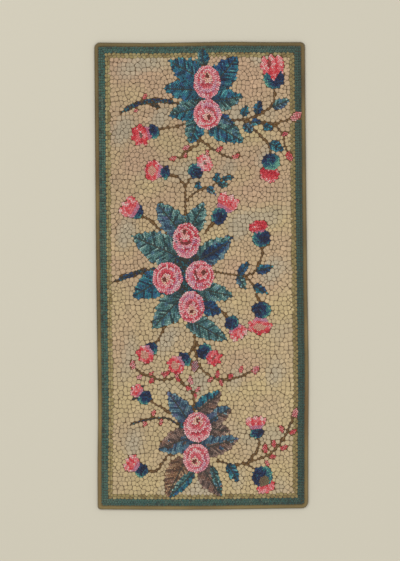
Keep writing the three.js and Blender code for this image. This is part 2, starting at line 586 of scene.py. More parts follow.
def petal_light(unit, kind):
    """How pale the petals of a kind of bud are, from 0 to 1."""
    along, across = unit[:, 0], unit[:, 1]
    depth = np.linalg.norm(unit, axis=1)
    angle = np.arctan2(across, along)
    lobe = np.abs(np.sin(1.5 * math.pi * (across + 1)))
    shine = np.exp(-((across - 0.35) ** 2 + (along - 0.1) ** 2) / 0.12)
    return {
        "frilled": 0.32 + 0.38 * lobe + 0.22 * along,
        "tucked": 0.38 + 0.34 * lobe + 0.18 * along,
        "tulip": 0.25 + 0.4 * lobe + 0.2 * along,
        "cupped": 0.08 + np.interp(along, [0.1, 0.8], [0, 0.75]),
        "barrel": 0.1 + 0.8 * shine + 0.25 * np.abs(along) ** 3,
        "hollow": 0.5 + 0.4 * along,
        "open": 0.9 - 0.8 * depth + 0.15 * np.sin(3 * angle),
        "ringed": 0.45 - 0.35 * along + 0.15 * np.sin(5 * angle),
        "pale": 0.95 - 0.85 * np.abs(across) ** 2,
    }[kind]


def petal_tint(unit, kind, draw):
    """The petals of a bud, flecked, with pale edges, a hollow or a fold, and lilac by the calyx."""
    along, across = unit[:, 0], unit[:, 1]
    tint = ramp(petal_light(unit, kind) + 0.2 * draw.standard_normal(len(unit)), PETAL_STOPS)
    rim = np.linalg.norm(unit, axis=1) > 0.8
    tint = toned(tint, "petal pale", 0.6 * (rim & (draw.random(len(unit)) < 0.4)))
    if kind in ("open", "pale"):
        slit = np.hypot(along * 3.0, across * 1.2) < 0.34
        tint = toned(tint, "petal slit", 0.75 * slit)
    if kind == "ringed":
        hollow = np.hypot(along - 0.15, 0.8 * across) < 0.4
        tint = toned(tint, "petal hollow", 0.8 * hollow)
    if kind == "tulip":
        fold = np.hypot(along - 0.35, 1.5 * (across - 0.25)) < 0.3
        return toned(tint, "heart", 0.6 * fold)
    near_cup = along < (-0.5 if kind in FANNED else -0.62)
    return toned(tint, "petal lilac", 0.65 * near_cup)


def bud(row, draw):
    """A calyx and its petals. The kind of bud says which of them lies in front."""
    turn = math.atan2(row.petal_y - row.y, row.petal_x - row.x)
    cup_at, cup_unit = oval(row.x, row.y, turn, row.cup_along, row.cup_across)
    if row.kind in FANNED:
        at, unit = fan(row.petal_x, row.petal_y, turn, row.along, row.across)
    else:
        at, unit = oval(row.petal_x, row.petal_y, turn, row.along, row.across, PETAL_NOTCH)
    cup = loops(cup_at, MOTIF_REACH, cup_tint(cup_unit, row.kind, draw), turn + math.pi / 2)
    petals = loops(at, MOTIF_REACH, petal_tint(unit, row.kind, draw), turn + math.pi / 2)
    if row.kind == "tulip":
        cup = chosen(cup, cup_unit[:, 0] < -0.3 + 1.5 * np.abs(cup_unit[:, 1]))
    if row.kind == "hollow":
        inside = np.linalg.norm(cup_unit - np.array([0.55, 0.0]), axis=1) < 0.55
        cup = cup._replace(tint=toned(cup.tint, "stem light", 0.8 * inside))
    upper, lower = (cup, petals) if row.kind in CUP_IN_FRONT else (petals, cup)
    return joined([upper, uncovered(lower, upper)])


# Leaves
BIG_LEAF = 35
TOOTH_LENGTH = 25
TEETH = {"upper": 0.26, "middle": 0.16, "lower": 0.12}
SIDE_VEINS = 4.5
CORE_WEIGHTS = {"dark heart": 5, "vein": 3, "cup teal": 2, "cup navy": 1}


def seed_from(draw):
    """A seed for a drift, drawn at random."""
    return int(draw.integers(1 << 30))


def leaf_tint(t, across, half, length, row, draw, places):
    """A dark midrib, slanting side veins and a different shade on each side of the leaf."""
    count = len(t)
    left = np.array(LEAF_TINTS[row.left], float)
    right = np.array(LEAF_TINTS[row.right], float)
    edge = np.abs(across) / np.maximum(half, MOTIF_PITCH)
    side = np.sign(across) * edge + 0.4 * drift(places, 36, seed_from(draw))
    tints = np.where((side > 0)[:, None, None], left[None], right[None])
    streaks = np.column_stack([length * t - 0.8 * np.abs(across), 0.3 * across])
    value = 1.22 + 0.85 * drift(streaks, 13, seed_from(draw)) + 0.9 * edge**2
    value += 0.42 * draw.standard_normal(count)
    level = np.clip(value, 0, 3)
    low = np.minimum(level.astype(int), 2)
    tint = mixed(tints[np.arange(count), low], tints[np.arange(count), low + 1], level - low)
    vein = (t * SIDE_VEINS - 0.75 * edge + 0.1 * np.sign(across)) % 1 < 0.2
    tint = mixed(tint, tints[:, 0], 0.85 * vein)
    patches = np.clip(1.4 * drift(places, 30, seed_from(draw)) - 0.5, 0, 1)
    tint = mixed(tint, tints[:, 4], 0.6 * patches * (draw.random(count) < 0.8))
    tint = mixed(tint, tints[:, 0], np.interp(t, [0, 0.35], [0.55, 0]))
    rib = (np.abs(across) < 0.4 * MOTIF_PITCH) & (t < 0.9)
    return toned(tint, "vein", 0.8 * rib)


def leaf_half(t, row, length, side):
    """Half the leaf's width along it, with teeth that point to its tip."""
    big = row.width > BIG_LEAF
    blunt = 0.12 if big else 0.04
    teeth = max(2, round(length / TOOTH_LENGTH))
    tooth = (t * teeth + 0.2 * side) % 1
    full = row.width / 2 * np.sin(math.pi * (blunt + (1 - blunt) * np.clip(t, 0, 1)) ** 0.8) ** 0.8
    return full * (1.02 + TEETH[row.spray] * (tooth - 0.5) if big else 1.05)


def leaf(row, draw):
    """Rows of loops along a leaf, on both sides of its midrib."""
    base = np.array([row.x, row.y], float)
    reach = np.array([row.tip_x, row.tip_y]) - base
    length = np.linalg.norm(reach)
    turn = math.atan2(reach[1], reach[0])
    rows = int(0.65 * row.width / MOTIF_PITCH) + 1
    ts, sides, halves = [], [], []
    for number in range(-rows, rows + 1):
        t = np.arange(0.3 + 0.5 * (number % 2), length / LOOP_LENGTH) * LOOP_LENGTH / length
        half = leaf_half(t, row, length, np.sign(number))
        keep = (abs(number) * MOTIF_PITCH <= half - 0.2 * MOTIF_PITCH) | (number == 0)
        ts.append(t[keep])
        sides.append(np.full(keep.sum(), number * MOTIF_PITCH))
        halves.append(half[keep])
    t, across, half = np.concatenate(ts), np.concatenate(sides), np.concatenate(halves)
    at = base + np.outer(t, reach) + np.outer(across, beside(turn))
    tint = leaf_tint(t, across, half, length, row, draw, at)
    return loops(at, MOTIF_REACH, tint, turn + 0.25 * np.sign(across))


def core(row, draw):
    """Dark loops that fill in between the roses of a spray."""
    at, _ = oval(row.x, row.y, 0.0, row.half_width, row.half_height)
    return loops(at, MOTIF_REACH, picked(CORE_WEIGHTS, len(at), draw), math.pi / 2)


# Stems and twigs
STEM_WEIGHTS = {"stem": 5, "stem dark": 3, "stem light": 2}


def stem(row, draw):
    """One row of brown loops along a curve."""
    at, turn = smooth_line(row.points, STEM_PITCH)
    return loops(at, 0.46 * STEM_PITCH, picked(STEM_WEIGHTS, len(at), draw), turn)


def feather(row, draw):
    """A narrow leaf on a curved twig, up to three rows wide, dark, with a few blue loops."""
    line, turn = smooth_line(row.points, STEM_PITCH)
    t = np.linspace(0, 1, len(line))
    half = row.width / 2 * np.interp(t, [0, 0.45, 0.8, 1], [0.35, 1, 0.9, 0.2])
    weights = {"vein": 4, "dark heart": 4, "stem dark": 3, "cup teal": row.blue, "cup navy": row.blue}
    parts = []
    for side in (-1, 0, 1):
        keep = half > abs(side) * 0.85 * STEM_PITCH
        at = line + side * STEM_PITCH * beside(turn)
        tint = picked(weights, len(at), draw)
        parts.append(chosen(loops(at, STEM_PITCH / 2, tint, turn), keep))
    return joined(parts)


def dab(row, draw):
    """A small bud on a twig, a few loops across."""
    turn = math.radians(row.angle)
    at, _ = oval(row.x, row.y, turn, row.length / 2 + 2.0, row.length / 4 + 2.5, notch=0.2, lobes=5)
    tint = toned(shade(row.tint), "petal pale", draw.uniform(0, 0.6, len(at)))
    tint = toned(tint, "petal deep", 0.4 * (draw.random(len(at)) < 0.2))
    return loops(at, MOTIF_REACH, tint, turn + math.pi / 2)


# The sprays. What is planned first lies on top
MOTIFS = (
    ("roses", ROSES, rose), ("buds", BUDS, bud), ("leaves", LEAVES, leaf), ("leaves", CORES, core),
    ("stems", FEATHERS, feather), ("stems", DABS, dab), ("stems", STEMS, stem),
)


def planned_motifs():
    """Each spray's loops by kind."""
    plan, taken = {}, None
    for order, (kind, table, make) in enumerate(MOTIFS):
        for number, row in enumerate(table):
            part = make(row, np.random.default_rng((order, number)))
            if taken is not None:
                part = uncovered(part, taken)
            taken = part if taken is None else joined([taken, part])
            plan.setdefault((row.spray, kind), []).append(part)
    return {key: joined(parts) for key, parts in plan.items()}


# The rug's edge and the rows along it
BORDER_JITTER = 0.4
# Painted shade in the crease beside the binding: the first row's colour is darkened by this factor
FIRST_ROW_PAINTED_SHADE = 0.88
DARK_TO_THE_RIGHT = ([-300, -200, 200, 300], [0.2, 0.25, 0.35, 0.75])
LINE_JITTER = 0.7
OCHRE_TO_THE_RIGHT = ([200, 280], [0, 0.5])
LINE_WEIGHTS = {"ochre": 5, "ochre light": 3, "ochre dark": 2}


def ring_at(node, height):
    """The points of a CAD node's outline at a height, in millimetres."""
    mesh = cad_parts[node].data
    places = np.array([vertex.co for vertex in mesh.vertices]) / MM
    return np.unique(places[np.abs(places[:, 2] - height) < 0.05][:, :2].round(3), axis=0)


def around(points):
    """Points in order round the rug's middle."""
    return points[np.argsort(np.arctan2(points[:, 1], points[:, 0]))]


def pile_edge():
    """The outline of the pile, and its direction at each point."""
    ring = around(ring_at("hooked_field", PILE_TOP - PILE_ROUNDING))
    return evenly(ring, EDGE_STEP, closed=True)


def rug_edge(inner, step):
    """The outline over the binding."""
    ring = ring_at("edge_binding", BINDING_TOP - BINDING_ROUNDING)
    _, distance = nearest(tree_of(inner), ring)
    outer, _ = evenly(around(ring[distance > BINDING_FACE / 2]), step, closed=True)
    return outer


def edge_by(edge, places):
    """The point of the pile's edge that is nearest to each place."""
    index, _ = nearest(tree_of(edge), places)
    return edge[index]


def row_inside(edge, turn, inset, pitch):
    """Points a pitch apart on a row that follows the edge, and the row's direction at each."""
    line = edge + inset * beside(turn)
    _, distance = nearest(tree_of(edge), line)
    return evenly(line[distance > inset - 0.1], pitch, closed=True)


def border(edge, turn):
    """Rows of fine loops along the binding, with more dark ones in the first row and the last, and painted
    shade darkening the first row.
    """
    parts = []
    for number in range(BORDER_ROWS):
        draw = np.random.default_rng((20, number))
        at, along = row_inside(edge, turn, (number + 0.5) * BORDER_PITCH, BORDER_LENGTH)
        at = at + BORDER_JITTER * draw.standard_normal(at.shape)
        dark = 1 if number == 1 else 3
        weights = {"border teal": 5, "border blue": 3, "border grey": 2, "border dark": dark}
        tint = picked(weights, len(at), draw)
        tint = toned(tint, "border blue", np.clip(0.5 * drift(at, 260, 21), 0, 1))
        tint = toned(tint, "border grey", np.clip(0.5 * drift(at, 190, 22), 0, 1))
        tint = toned(tint, "border dark", np.interp(at[:, 0], *DARK_TO_THE_RIGHT))
        # The first row, beside the binding, is darkened by painted shade
        tint = tint * (FIRST_ROW_PAINTED_SHADE if number == 0 else 1.0)
        parts.append(loops(at, BORDER_PITCH / 2, tint, along))
    return joined(parts)


def inner_line(edge, turn):
    """Rows of ochre loops inside the border, darker to the right."""
    parts = []
    for number in range(LINE_ROWS):
        draw = np.random.default_rng((30, number))
        inset = BORDER_ROWS * BORDER_PITCH + (number + 0.5) * LINE_PITCH
        at, along = row_inside(edge, turn, inset, LINE_LENGTH)
        at = at + LINE_JITTER * draw.standard_normal(at.shape)
        tint = picked(LINE_WEIGHTS, len(at), draw)
        tint = toned(tint, "ochre dark", np.interp(at[:, 0], *OCHRE_TO_THE_RIGHT))
        parts.append(loops(at, LINE_PITCH / 2, tint, along))
    return joined(parts)


# The ground
GROUND_MARGIN = GROUND_INSET + GROUND_PITCH / 2
GROUND_SWAY = 4.0
GROUND_JITTER = (3.2, 1.7)
GROUND_TURN = 0.3
GROUND_REACH = (0.72, 1.12)
LEAST_REACH = 2.5
GAP_STEP = 3.5
LEAST_GAP = 3.0


def ground_tint(at, draw):
    """Mottled tan, pinker to the upper end and yellower to the lower one."""
    height = at[:, 1] / 600
    pink = np.clip(0.3 + 0.5 * height + 0.4 * drift(at, 260, 41), 0, 1)
    yellow = np.clip(0.3 - 0.2 * height + 0.45 * drift(at, 170, 42), 0, 1)
    grey = np.clip(0.8 * drift(at, 150, 43) - 0.25, 0, 0.9)
    tint = toned(shade("tan"), "pink tan", pink)
    tint = toned(tint, "yellow tan", yellow)
    tint = toned(tint, "grey tan", grey)
    light = 0.985 - 0.04 * np.exp(-(((at[:, 1] - 380) / 230) ** 2)) + 0.02 * at[:, 0] / 300
    return tint * (light + 0.025 * draw.standard_normal(len(at)))[:, None]


def ground_rows(edge, draw):
    """Rough rows of places across the ground, a little out of line."""
    left, right = edge[edge[:, 0] < 0], edge[edge[:, 0] > 0]
    left, right = left[np.argsort(left[:, 1])], right[np.argsort(right[:, 1])]
    low, high = edge[:, 1].min(), edge[:, 1].max()
    count = round((high - low - 2 * GROUND_MARGIN) / GROUND_PITCH) + 1
    places = []
    for y in np.linspace(low + GROUND_MARGIN, high - GROUND_MARGIN, count):
        start = np.interp(y, left[:, 1], left[:, 0]) + GROUND_MARGIN
        stop = np.interp(y, right[:, 1], right[:, 0]) - GROUND_MARGIN
        x = np.linspace(start, stop, round((stop - start) / GROUND_PITCH) + 1)
        x[1:-1] += draw.uniform(-0.4, 0.4) * GROUND_PITCH
        places.append(np.stack([x, np.full(len(x), y)], 1))
    places = np.vstack(places)
    sway = np.stack([drift(places, 170, 44), drift(places, 170, 45)], 1)
    return places + GROUND_SWAY * sway + np.array(GROUND_JITTER) * draw.standard_normal(places.shape)


def pushed_apart(part, fixed, rounds=4):
    """The loops, moved so that they crowd neither each other nor the fixed ones."""
    at = part.at
    for _ in range(rounds):
        every = np.vstack([at, fixed.at])
        reach = np.concatenate([part.reach, fixed.reach])
        near = neighbours(tree_of(every), at, 10)
        gap = at[:, None] - every[near]
        distance = np.linalg.norm(gap, axis=2) + 1e-6
        short = np.clip(part.reach[:, None] + reach[near] - distance, 0, None)
        at = at + (gap / distance[..., None] * short[..., None]).sum(1) * 0.35
    return part._replace(at=at)


def room_at(taken, spots, count=6):
    """How far each spot is from the nearest loop's rim."""
    tree = tree_of(taken.at)
    room = []
    for x, y in spots:
        found = tree.find_n((x, y, 0.0), count)
        room.append(min(distance - taken.reach[index] for _, index, distance in found))
    return np.array(room)


def gap_loops(taken, edge, turn, draw):
    """Smaller loops for the gaps that are left, the widest gaps first."""
    low, high = edge.min(0), edge.max(0)
    x, y = np.meshgrid(np.arange(low[0], high[0], GAP_STEP), np.arange(low[1], high[1], GAP_STEP))
    spots = np.stack([x.ravel(), y.ravel()], 1)
    index, _ = nearest(tree_of(edge), spots)
    inside = ((spots - edge[index]) * beside(turn[index])).sum(1) > GROUND_INSET
    spots = spots[inside]
    room = room_at(taken, spots)
    places, reaches = [], []
    for spot in np.argsort(-room):
        if room[spot] < LEAST_GAP:
            break
        reach = min(room[spot], GROUND_PITCH / 2)
        if all(np.hypot(*(spots[spot] - p)) > reach + r for p, r in zip(places, reaches)):
            places.append(spots[spot])
            reaches.append(reach)
    at = np.array(places).reshape(-1, 2)
    return loops(at, np.array(reaches), ground_tint(at, draw), draw.uniform(0, math.pi, len(at)))


def ground(edge, turn, others):
    """Wide loops in rough rows, with smaller ones in the gaps by the other loops."""
    draw = np.random.default_rng(40)
    at = ground_rows(edge, draw)
    along = GROUND_TURN * draw.standard_normal(len(at))
    part = loops(at, GROUND_PITCH / 2 * draw.uniform(*GROUND_REACH, len(at)), 0.0, along)
    part = pushed_apart(uncovered(part, others, 0.5), others)
    index, distance = nearest(tree_of(others.at), part.at)
    room = np.clip(distance - others.reach[index], LEAST_REACH, part.reach)
    part = part._replace(tint=ground_tint(part.at, draw), reach=room)
    return joined([part, gap_loops(joined([part, others]), edge, turn, draw)])


# Shapes of the loops, ring by ring from the foot, with spread and height as shares of the whole
# Press lifts a ring where its gap's painted shade is light, arch lowers the strip's ends, easing takes off
# the ring's corners
# Tint is the ring's share of the loop's own colour; the rest is painted shade from the gap
Ring = namedtuple("Ring", "spread height press arch tint easing")
COARSE = (
    Ring(1.0, 0.0, 0.0, 0.0, 0.0, 0),
    Ring(0.98, 0.56, 0.22, 0.14, 0.38, 0),
    Ring(0.91, 0.83, 0.08, 0.12, 0.92, 1),
    Ring(0.6, 0.97, 0.0, 0.08, 1.0, 4),
)
FINE = (
    Ring(1.0, 0.0, 0.0, 0.0, 0.0, 0),
    Ring(0.98, 0.6, 0.0, 0.16, 0.88, 1),
    Ring(0.64, 0.95, 0.0, 0.16, 1.0, 3),
)
# Each kind of pile: the shape of its loops, their height and how dark the painted shade in the gaps between
# them is
# Dim darkens a loop's own colour into painted gap shade, lined mixes the foundation's brown into it, uneven
# makes it wander along the gaps
Pile = namedtuple("Pile", "rings sides gap most top dim lined uneven")
PILES = {
    "roses": Pile(FINE, 8, 0.1, 4.0, 9.2, 0.66, 0.0, 0.0),
    "buds": Pile(FINE, 8, 0.1, 4.0, 9.0, 0.72, 0.0, 0.0),
    "leaves": Pile(FINE, 8, 0.1, 4.0, 8.8, 0.66, 0.0, 0.0),
    "stems": Pile(FINE, 8, 0.1, 2.3, 8.5, 0.66, 0.0, 0.0),
    "border": Pile(FINE, 8, 0.1, 4.8, 8.5, 0.66, 0.0, 0.0),
    "inner_line": Pile(COARSE, 11, 0.3, 10.0, 8.5, 1.0, 0.4, 0.3),
    "ground": Pile(COARSE, 11, 0.3, 10.0, 8.7, 1.0, 1.0, 1.0),
}
TRIES_PER_SIDE = 5
LOOP_NEIGHBOURS = 26
LEAST_SPREAD = 0.45
Shape = namedtuple("Shape", "angle spread")


def shape_of(every, wanted, pile):
    """How far each wanted loop spreads before it meets a neighbour, at angles that take in its corners."""
    tries = TRIES_PER_SIDE * pile.sides
    angle = np.broadcast_to(np.arange(tries) * math.tau / tries, (len(wanted), tries))
    facing = pointing(every.turn[wanted][:, None] + angle)
    near = neighbours(tree_of(every.at), every.at[wanted], LOOP_NEIGHBOURS)
    apart = every.at[near] - every.at[wanted][:, None]
    reach = every.reach[wanted][:, None]
    share = ((apart**2).sum(2) + reach**2 - every.reach[near] ** 2) / 2
    toward = np.einsum("lnx,lsx->lns", apart, facing)
    limit = np.where(toward > 1e-3, share[..., None] / np.maximum(toward, 1e-3), np.inf).min(1)
    spread = np.clip(limit, LEAST_SPREAD * reach, pile.most) - pile.gap / 2
    corner = (spread > np.roll(spread, 1, 1)) & (spread >= np.roll(spread, -1, 1))
    sectors = np.where(corner, spread, 0).reshape(len(wanted), pile.sides, TRIES_PER_SIDE)
    best = np.where(sectors.any(2), sectors.argmax(2), TRIES_PER_SIDE // 2)
    best = best + TRIES_PER_SIDE * np.arange(pile.sides)
    return Shape(np.take_along_axis(angle, best, 1), np.take_along_axis(spread, best, 1))


def rounded(spread, rounds):
    """Outlines with their corners taken off."""
    for _ in range(rounds):
        beside_it = 0.5 * (np.roll(spread, 1, 1) + np.roll(spread, -1, 1))
        spread = np.minimum(spread, 0.7 * spread + 0.3 * beside_it)
    return spread


# Meshes
def mesh_piece(name, points, faces, material):
    """A mesh object from points in millimetres and arrays of faces, each with one count of corners."""
    mesh = bpy.data.meshes.new(name)
    corners = np.concatenate([f.ravel() for f in faces]).astype(np.int32)
    counts = np.concatenate([np.full(len(f), f.shape[1]) for f in faces])
    starts = np.concatenate([[0], np.cumsum(counts)[:-1]]).astype(np.int32)
    mesh.vertices.add(len(points))
    mesh.vertices.foreach_set("co", (np.asarray(points) * MM).astype(np.float32).ravel())
    mesh.loops.add(len(corners))
    mesh.loops.foreach_set("vertex_index", corners)
    mesh.polygons.add(len(counts))
    mesh.polygons.foreach_set("loop_start", starts)
    mesh.polygons.foreach_set("use_smooth", np.full(len(counts), True))
    mesh.update(calc_edges=True)
    mesh.materials.append(material)
    piece = bpy.data.objects.new(name, mesh)
    bpy.context.scene.collection.objects.link(piece)
    return piece, corners


def add_tint(piece, tint):
    """Sets each point's colour, which the materials read."""
    colour = np.ones((len(tint), 4), np.float32)
    colour[:, :3] = linear(tint)
    layer = piece.data.color_attributes.new("tint", "FLOAT_COLOR", "POINT")
    layer.data.foreach_set("color", colour.ravel())


def add_chart(piece, name, places):
    """Sets a UV map from a place for each corner."""
    layer = piece.data.uv_layers.new(name=name)
    layer.data.foreach_set("uv", places.astype(np.float32).ravel())


def placed(piece):
    """The piece, fixed to the rug."""
    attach(piece, "root")
    return piece


def bands(sides, rings):
    """The faces between the rings of a tube."""
    k = np.arange(sides)
    ahead = (k + 1) % sides
    band = np.stack([k, ahead, ahead + sides, k + sides], 1)
    return np.vstack([band + number * sides for number in range(rings - 1)])


def repeated(faces, count, points_each):
    """The faces of one small shape, repeated for a count of them."""
    first = (np.arange(count) * points_each)[:, None, None]
    return (first + faces[None]).reshape(-1, faces.shape[1])


# Hooked pile
RISE_SPREAD = (-0.45, 0.15)
SWELL = 0.15
LEAN = 0.1
# A painted highlight: each loop's crown point is a little lighter than the loop
CROWN_PAINTED_HIGHLIGHT = 1.02
# Painted shade in the gaps between loops: its darkness, how far it wanders along the gaps, and how much is
# left beside the motifs
GLOOM = 0.46
GLOOM_LENGTH = 14
LEAST_GLOOM = 0.35
BESIDE_RUN = 3.0


def gloom_of(edge, uneven, beside_it):
    """How much painted shade darkens the gaps round the loops, from 0 to 1, and less of it beside the given
    loops.
    """
    gloom = np.clip(GLOOM + uneven * drift(edge, GLOOM_LENGTH, 61), 0, 1)
    if beside_it is not None:
        index, distance = nearest(tree_of(beside_it.at), edge)
        gloom *= np.clip((distance - beside_it.reach[index]) / BESIDE_RUN, LEAST_GLOOM, 1)
    return gloom


def loop_points(part, shape, pile, draw, beside_it):
    """The points of each loop, with their colours, which hold painted shade in the gaps and a painted
    highlight on the crown, and their places on two charts.
    """
    count = len(part.at)
    facing = pointing(part.turn[:, None] + shape.angle)
    strip = pointing(shape.angle)
    rise = pile.top - LOOP_FOOT + draw.uniform(*RISE_SPREAD, count) + SWELL * drift(part.at, 90, 60)
    lean = LEAN * part.reach[:, None] * draw.standard_normal((count, 2))
    edge = (part.at[:, None] + shape.spread[..., None] * facing).reshape(-1, 2)
    gloom = gloom_of(edge, pile.uneven, beside_it).reshape(shape.spread.shape)
    # Painted shade for the gaps: the loop's colour darkened, and mixed with the foundation's brown for the
    # ground and the inner line
    deep = toned(part.tint * pile.dim, "line", pile.lined)
    points, tints, charts, strips = [], [], [], []
    for ring in pile.rings:
        level = ring.height + ring.press * (1 - gloom) - ring.arch * strip[..., 0] ** 2
        size = (ring.spread * rounded(shape.spread, ring.easing))[..., None]
        place = part.at[:, None] + size * facing + lean[:, None] * ring.height
        points.append(np.concatenate([place, (LOOP_FOOT + rise[:, None] * level)[..., None]], 2))
        # Each ring takes painted gap shade by the gap's darkness, less toward the crown
        tints.append(mixed(part.tint[:, None], deep[:, None], gloom * (1 - ring.tint)))
        charts.append(part.at[:, None] + (ring.spread * shape.spread)[..., None] * facing)
        strips.append(size * strip)
    points.append(np.concatenate([part.at + lean, (LOOP_FOOT + rise)[:, None]], 1)[:, None])
    # The crown point takes the painted highlight
    tints.append(part.tint[:, None] * CROWN_PAINTED_HIGHLIGHT)
    charts.append(part.at[:, None])
    strips.append(np.zeros((count, 1, 2)))
    return [np.concatenate(column, 1) for column in (points, tints, charts, strips)]


def loop_chart(places, corners, shape):
    """A place on the chart for each corner. The feet, which come last, share one corner of it."""
    low, high = places.min(0), places.max(0)
    chart = (0.02 + 0.96 * (places - low) / (high - low))[corners]
    feet = 0.008 + 0.004 * pointing(shape.angle)[:, ::-1].reshape(-1, 2)
    chart[-len(feet):] = feet
    return chart


def hooked_piece(name, part, shape, pile, material, seed, beside_it=None):
    """One closed mesh for each loop, joined in a piece: a foot, a belly and a rounded crown."""
    draw = np.random.default_rng(seed)
    points, tints, places, strips = loop_points(part, shape, pile, draw, beside_it)
    count, each = points.shape[:2]
    k = np.arange(pile.sides)
    last = each - 1 - pile.sides
    crown = np.stack([last + k, last + (k + 1) % pile.sides, np.full(pile.sides, each - 1)], 1)
    foot = k[None, ::-1]
    faces = [repeated(one, count, each) for one in (bands(pile.sides, len(pile.rings)), crown, foot)]
    piece, corners = mesh_piece(name, points.reshape(-1, 3), faces, material)
    add_tint(piece, tints.reshape(-1, 3))
    add_chart(piece, "Strip", strips.reshape(-1, 2)[corners] * MM)
    add_chart(piece, "OFBake", loop_chart(places.reshape(-1, 2), corners, shape))
    return placed(piece)


# The ground in patches, from the lower end to the upper
PATCH_START = 640
PATCH_HEIGHT = 320
PATCH_BANDS = ("lower", "middle_lower", "middle_upper", "upper")
PATCH_SIDES = ("left", "right")


def ground_pieces(tan, shape, material, others):
    """The ground's loops, a piece for each patch."""
    side = (tan.at[:, 0] > 0).astype(int)
    band = ((tan.at[:, 1] + PATCH_START) / PATCH_HEIGHT).astype(int)
    band = np.clip(band, 0, len(PATCH_BANDS) - 1)
    pieces = []
    for patch, names in enumerate(itertools.product(PATCH_BANDS, PATCH_SIDES)):
        keep = side + len(PATCH_SIDES) * band == patch
        name = "_".join(("ground", *names))
        patch_shape = Shape(shape.angle[keep], shape.spread[keep])
        pile, seed = PILES["ground"], (83, patch)
        pieces.append(hooked_piece(name, chosen(tan, keep), patch_shape, pile, material, seed, others))
    return pieces


def pile_pieces(motifs, teal, line, tan):
    """All the hooked pieces. Each loop's neighbours are looked for in the whole pile."""
    cloth = wool("wool_strips", folds=0.0046, slant=0.12, twill=0.0016)
    yarn = wool("wool_yarn", folds=0.0021, slant=0.6, twill=0.0007)
    plan = []
    for number, ((spray, kind), part) in enumerate(motifs.items()):
        plan.append((f"{spray}_{kind}", part, PILES[kind], yarn, (80, number)))
    plan.append(("border", teal, PILES["border"], yarn, (81, 0)))
    plan.append(("inner_line", line, PILES["inner_line"], cloth, (82, 0)))
    others = joined([part for _, part, _, _, _ in plan])
    every = joined([others, tan])
    pieces, done = [], 0
    for name, part, pile, material, seed in plan:
        shape = shape_of(every, np.arange(done, done + len(part.at)), pile)
        pieces.append(hooked_piece(name, part, shape, pile, material, seed))
        done += len(part.at)
    shape = shape_of(every, np.arange(done, len(every.at)), PILES["ground"])
    return pieces + ground_pieces(tan, shape, cloth, others)


# Materials
def new_material(name, roughness, sheen, shine):
    """A matt material and its surface."""
    material = bpy.data.materials.new(name)
    material.use_nodes = True
    surface = material.node_tree.nodes["Principled BSDF"]
    surface.inputs["Roughness"].default_value = roughness
    surface.inputs["Sheen Weight"].default_value = sheen
    surface.inputs["Sheen Roughness"].default_value = 0.6
    surface.inputs["Specular IOR Level"].default_value = shine
    return material, surface


def noise(tree, source, scale, detail):
    """Soft noise, its scale in waves to the metre."""
    node = tree.nodes.new("ShaderNodeTexNoise")
    node.inputs["Scale"].default_value = scale
    node.inputs["Detail"].default_value = detail
    tree.links.new(source, node.inputs["Vector"])
    return node.outputs["Fac"]


def stretched(tree, value, low, high, start=0.0, stop=1.0):
    """A value's range, spread from low to high."""
    node = tree.nodes.new("ShaderNodeMapRange")
    node.inputs["From Min"].default_value = start
    node.inputs["From Max"].default_value = stop
    node.inputs["To Min"].default_value = low
    node.inputs["To Max"].default_value = high
    tree.links.new(value, node.inputs["Value"])
    return node.outputs["Result"]


def scaled(tree, value, low, high):
    """The middle of a noise's range, spread from low to high."""
    return stretched(tree, value, low, high, 0.3, 0.7)


def combined(tree, operation, first, second):
    """Two values, or a value and a number, put together by an operation."""
    node = tree.nodes.new("ShaderNodeMath")
    node.operation = operation
    for value, socket in zip((first, second), node.inputs):
        if isinstance(value, float):
            socket.default_value = value
        else:
            tree.links.new(value, socket)
    return node.outputs["Value"]


def waves(tree, value, pitch):
    """Soft waves from 0 to 1, a pitch apart in metres."""
    turn = combined(tree, "MULTIPLY", value, math.tau / pitch)
    return stretched(tree, combined(tree, "COSINE", turn, 0.0), 0.0, 1.0, -1.0, 1.0)


def ridges(tree, value, pitch):
    """Rounded ridges from 0 to 1, a pitch apart in metres."""
    turn = combined(tree, "MULTIPLY", value, math.pi / pitch)
    return combined(tree, "ABSOLUTE", combined(tree, "COSINE", turn, 0.0), 0.0)


def on_chart(tree, name):
    """Places on a UV map."""
    node = tree.nodes.new("ShaderNodeUVMap")
    node.uv_map = name
    return node.outputs["UV"]


def in_space(tree):
    """Places on the rug, in metres."""
    return tree.nodes.new("ShaderNodeTexCoord").outputs["Object"]


def axes_of(tree, place):
    """The first two axes of a place."""
    node = tree.nodes.new("ShaderNodeSeparateXYZ")
    tree.links.new(place, node.inputs["Vector"])
    return node.outputs["X"], node.outputs["Y"]


def tinted(tree, surface, brightness):
    """The points' colour, with any painted light and shade it holds, made lighter and darker by a pattern.
    """
    tint = tree.nodes.new("ShaderNodeAttribute")
    tint.attribute_name = "tint"
    vary = tree.nodes.new("ShaderNodeHueSaturation")
    tree.links.new(tint.outputs["Color"], vary.inputs["Color"])
    tree.links.new(brightness, vary.inputs["Value"])
    tree.links.new(vary.outputs["Color"], surface.inputs["Base Color"])


def bumped(tree, surface, height, depth):
    """Small relief from a pattern of heights, its depth in metres."""
    node = tree.nodes.new("ShaderNodeBump")
    node.inputs["Strength"].default_value = 0.6
    node.inputs["Distance"].default_value = depth
    tree.links.new(height, node.inputs["Height"])
    tree.links.new(node.outputs["Normal"], surface.inputs["Normal"])


